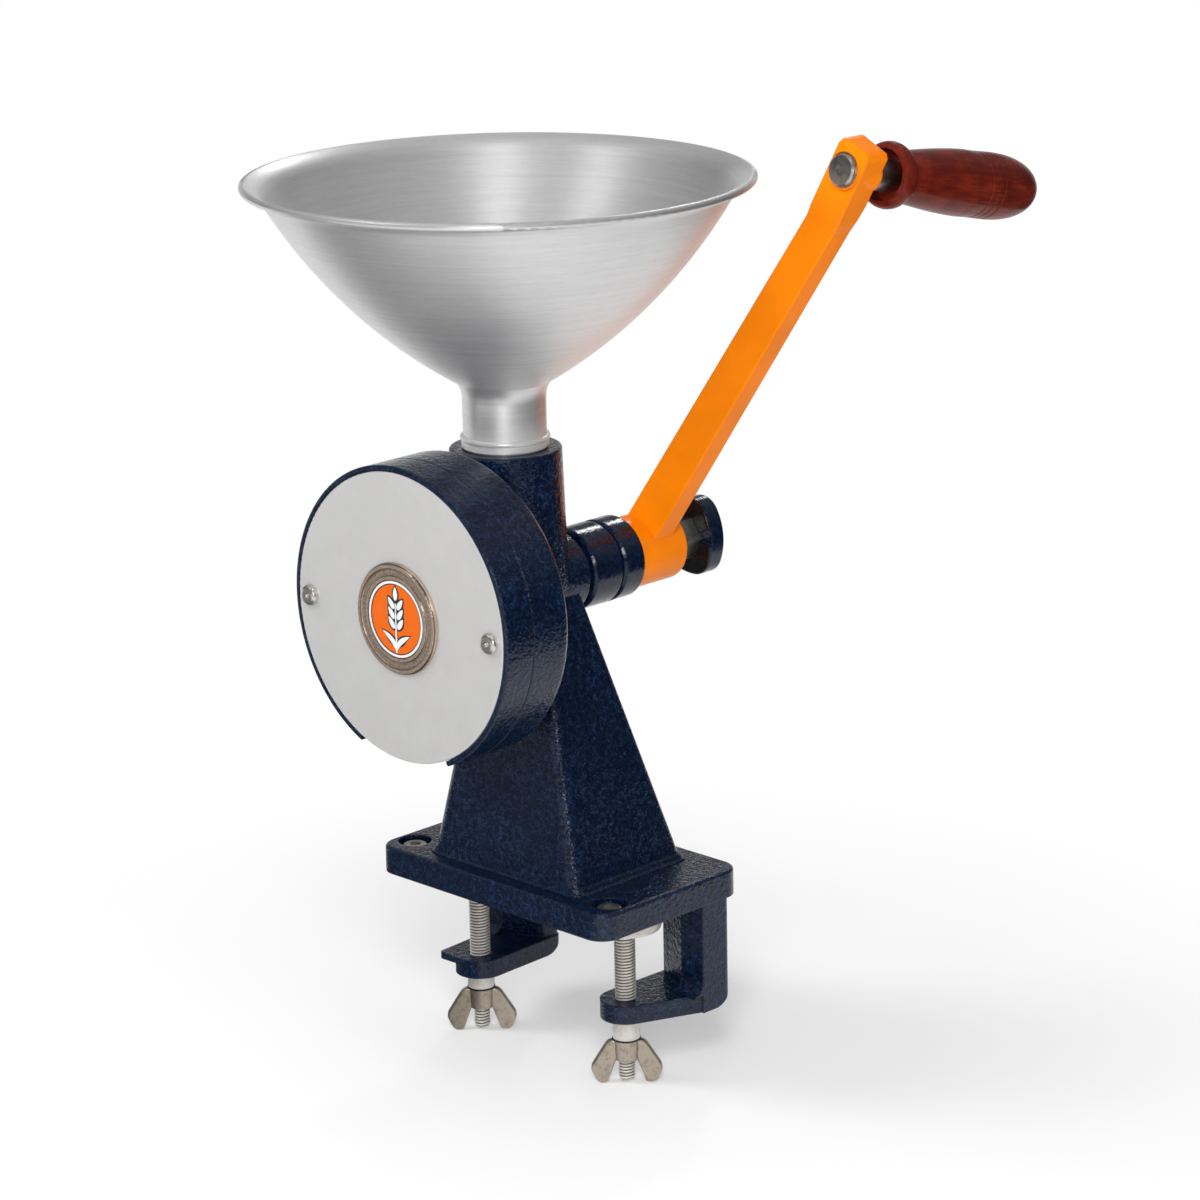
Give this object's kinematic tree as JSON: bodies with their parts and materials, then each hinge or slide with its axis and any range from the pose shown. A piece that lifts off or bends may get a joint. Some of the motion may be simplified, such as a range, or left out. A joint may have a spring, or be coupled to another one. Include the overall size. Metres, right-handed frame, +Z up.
{
  "type": "hand grain mill",
  "caption": "Table-clamped hand grain mill with a funnel hopper, burr drum, pedestal, leaning crank with a wooden grip, burr-setting knob and under-table screw clamps.",
  "frame": {"origin": "middle of the base plate's underside, the face that sits on the table", "axes": "+X across the cover disc, +Y along the shaft from the cover towards the crank, +Z up"},
  "size_m": [0.2289, 0.37, 0.4322],
  "materials": {
    "navy_paint": "navy hammertone enamel, glossy",
    "orange_paint": "smooth orange powder coat, semi-gloss",
    "spun_aluminium": "spun and lightly polished, with fine circular marks",
    "brushed_aluminium": "fine satin brushing",
    "nickel": "nickel plate",
    "enamel": "orange and white enamel",
    "steel": "machined steel",
    "stainless_cast": "cast stainless steel, softly blasted",
    "dark_steel": "blackened steel",
    "burr_iron": "hardened cast iron, ground face",
    "bronze": "oil-filled bronze",
    "wood": "turned hardwood under red-brown lacquer",
    "navy_plastic": "moulded, glossy"
  },
  "bodies": {
    "frame": {"body_casting": "navy_paint", "burr_housing_ring": "navy_paint", "base_casting": "navy_paint", "base_screws": "steel", "mounting_screws": "steel", "cover_plate": "brushed_aluminium", "cover_screws": "steel", "badge_bezel": "nickel", "badge_disc": "enamel", "stationary_burr": "burr_iron", "burr_screws": "steel", "rear_bush": "bronze", "bearing_cap": "navy_paint", "cap_bush": "bronze", "thrust_race_front": "steel", "thrust_balls": "steel"},
    "hopper": {"hopper": "spun_aluminium", "hopper_collar": "spun_aluminium"},
    "crank": {"crank_arm": "orange_paint", "thrust_collar": "navy_paint", "thrust_race_rear": "steel", "thrust_washer": "steel", "release_spring": "steel"},
    "shaft": {"main_shaft": "steel", "crank_key": "steel", "auger": "burr_iron", "auger_pin": "steel", "rotating_burr": "burr_iron", "burr_key": "steel", "burr_nut": "steel"},
    "knob": {"adjusting_knob": "navy_plastic", "knob_nut": "steel"},
    "grip": {"handle_bolt": "steel", "bolt_washer": "steel", "grip_ferrule": "steel", "grip_insert": "bronze", "handle_grip": "wood"},
    "pad_right": {"clamp_pad_right": "stainless_cast"},
    "screw_right": {"clamp_screw_right": "steel", "stop_collar_right": "steel", "lock_ring_right": "dark_steel", "wing_nut_right": "stainless_cast"},
    "pad_left": {"clamp_pad_left": "stainless_cast"},
    "screw_left": {"clamp_screw_left": "steel", "stop_collar_left": "steel", "lock_ring_left": "dark_steel", "wing_nut_left": "stainless_cast"}
  },
  "joints": [
    {"name": "crank_turn", "type": "hinge", "parent": "frame", "child": "crank", "pos_m": [0, 0.0586, 0.149], "axis": [0, 1, 0], "continuous": true},
    {"name": "shaft_slide", "type": "slide", "parent": "crank", "child": "shaft", "axis": [0, -1, 0], "range_m": [-0.0007, 0.002]},
    {"name": "knob_turn", "type": "hinge", "parent": "crank", "child": "knob", "pos_m": [0, 0.0935, 0.149], "axis": [0, 1, 0], "range_deg": [-173, 485]},
    {"name": "grip_spin", "type": "hinge", "parent": "crank", "child": "grip", "pos_m": [0.09266, 0.09858, 0.33243], "axis": [0, 0.9781, -0.2079], "continuous": true},
    {"name": "hopper_lift", "type": "slide", "parent": "frame", "child": "hopper", "axis": [0, 0, 1], "range_m": [0, 0.03]},
    {"name": "pad_slide_right", "type": "slide", "parent": "frame", "child": "pad_right", "axis": [0, 0, -1], "range_m": [0, 0.033]},
    {"name": "screw_turn_right", "type": "hinge", "parent": "pad_right", "child": "screw_right", "pos_m": [0.0486, -0.0057, -0.04], "axis": [0, 0, -1], "range_deg": [0, 7960]},
    {"name": "pad_slide_left", "type": "slide", "parent": "frame", "child": "pad_left", "axis": [0, 0, -1], "range_m": [0, 0.036]},
    {"name": "screw_turn_left", "type": "hinge", "parent": "pad_left", "child": "screw_left", "pos_m": [-0.0486, -0.0057, -0.04], "axis": [0, 0, -1], "range_deg": [0, 8680]}
  ],
  "couplings": [
    {"joint": "knob_turn", "follows": "shaft_slide", "rad_per_m": 4188.8},
    {"joint": "screw_turn_right", "follows": "pad_slide_right", "rad_per_m": 4188.8},
    {"joint": "screw_turn_left", "follows": "pad_slide_left", "rad_per_m": 4188.8}
  ]
}
